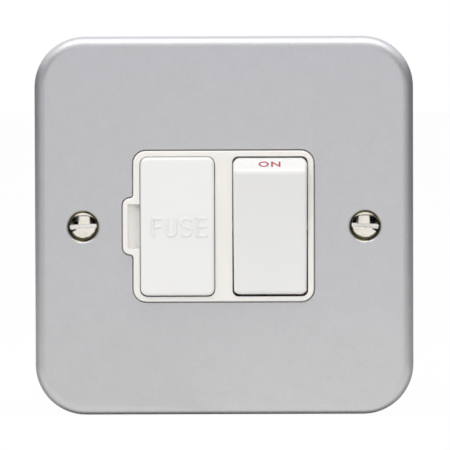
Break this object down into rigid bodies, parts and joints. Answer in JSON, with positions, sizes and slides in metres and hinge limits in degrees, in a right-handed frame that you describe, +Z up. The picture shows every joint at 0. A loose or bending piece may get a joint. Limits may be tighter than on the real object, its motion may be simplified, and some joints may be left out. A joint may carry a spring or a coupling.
{
  "type": "switched fused connection unit",
  "caption": "Wall plate with a sliding fuse drawer and a proud double-pole rocker, closed behind by a moulded housing that holds terminals, contacts and the fuse clips.",
  "frame": {"origin": "midway between the two fixing screws, on the plane of the plate's rear rim", "axes": "+Y into the wall along the fixing screws, +Z up, +X to the right seen from the front"},
  "size_m": [0.081, 0.0318, 0.081],
  "materials": {
    "face_plate": "grey coated steel, satin",
    "plated_steel": "zinc plated",
    "fixing_screw": "nickel plated, turned",
    "front_moulding": "white urea moulding, satin gloss",
    "drawer_moulding": "white urea moulding, satin gloss",
    "rocker_moulding": "white moulding, satin gloss",
    "plunger_plastic": "natural acetal",
    "rear_moulding": "white urea moulding, matt",
    "fuse_ceramic": "glazed ceramic tube",
    "fuse_cap": "nickel plated brass cap",
    "copper": "bare copper strip",
    "tinned_brass": "tinned brass strip",
    "contact_silver": "silver alloy, polished",
    "spring_steel": "spring wire",
    "terminal_brass": "machined brass",
    "terminal_screw": "zinc plated"
  },
  "bodies": {
    "root": {"faceplate": "face_plate", "plate_pillars": "plated_steel", "fixing_screw_left": "fixing_screw", "fixing_screw_right": "fixing_screw", "front_insert": "front_moulding", "fuse_clip_upper": "copper", "fuse_clip_lower": "copper", "pivot_strip_line": "copper", "pivot_strip_neutral": "copper", "load_strip_line": "copper", "earth_strap": "tinned_brass", "rear_housing": "rear_moulding", "housing_screws": "plated_steel", "fixed_contact_line": "copper", "fixed_tip_line": "contact_silver", "fixed_contact_neutral": "copper", "fixed_tip_neutral": "contact_silver", "terminal_earth_supply": "terminal_brass", "terminal_screw_earth_supply": "terminal_screw", "terminal_earth_load": "terminal_brass", "terminal_screw_earth_load": "terminal_screw", "terminal_line_supply": "terminal_brass", "terminal_screw_line_supply": "terminal_screw", "terminal_line_load": "terminal_brass", "terminal_screw_line_load": "terminal_screw", "terminal_neutral_supply": "terminal_brass", "terminal_screw_neutral_supply": "terminal_screw", "terminal_neutral_load": "terminal_brass", "terminal_screw_neutral_load": "terminal_screw"},
    "rocker": {"rocker": "rocker_moulding", "plunger_spring_line": "spring_steel", "plunger_spring_neutral": "spring_steel"},
    "line_plunger": {"plunger_line": "plunger_plastic"},
    "neutral_plunger": {"plunger_neutral": "plunger_plastic"},
    "line_contact": {"moving_contact_line": "copper", "moving_tip_line": "contact_silver"},
    "neutral_contact": {"moving_contact_neutral": "copper", "moving_tip_neutral": "contact_silver"},
    "fuse_drawer": {"fuse_carrier": "drawer_moulding", "fuse_tube": "fuse_ceramic", "fuse_cap_upper": "fuse_cap", "fuse_cap_lower": "fuse_cap"}
  },
  "joints": [
    {"name": "rocker_pivot", "type": "hinge", "parent": "root", "child": "rocker", "pos_m": [0.00982, -0.0026, 0], "axis": [1, 0, 0], "range_deg": [-14, 0]},
    {"name": "line_contact_pivot", "type": "hinge", "parent": "root", "child": "line_contact", "pos_m": [0.00602, 0.0086, 0], "axis": [1, 0, 0], "range_deg": [0, 22]},
    {"name": "neutral_contact_pivot", "type": "hinge", "parent": "root", "child": "neutral_contact", "pos_m": [0.01362, 0.0086, 0], "axis": [1, 0, 0], "range_deg": [0, 22]},
    {"name": "line_plunger_slide", "type": "slide", "parent": "rocker", "child": "line_plunger", "axis": [0, -0.9925, -0.1219], "range_m": [0, 0.0006], "stiffness_N_per_m": 500},
    {"name": "neutral_plunger_slide", "type": "slide", "parent": "rocker", "child": "neutral_plunger", "axis": [0, -0.9925, -0.1219], "range_m": [0, 0.0006], "stiffness_N_per_m": 500},
    {"name": "fuse_drawer_slide", "type": "slide", "parent": "root", "child": "fuse_drawer", "axis": [0, -1, 0], "range_m": [0, 0.0102]}
  ],
  "couplings": [
    {"joint": "line_contact_pivot", "follows": "rocker_pivot", "ratio": -1.5714},
    {"joint": "neutral_contact_pivot", "follows": "rocker_pivot", "ratio": -1.5714}
  ]
}
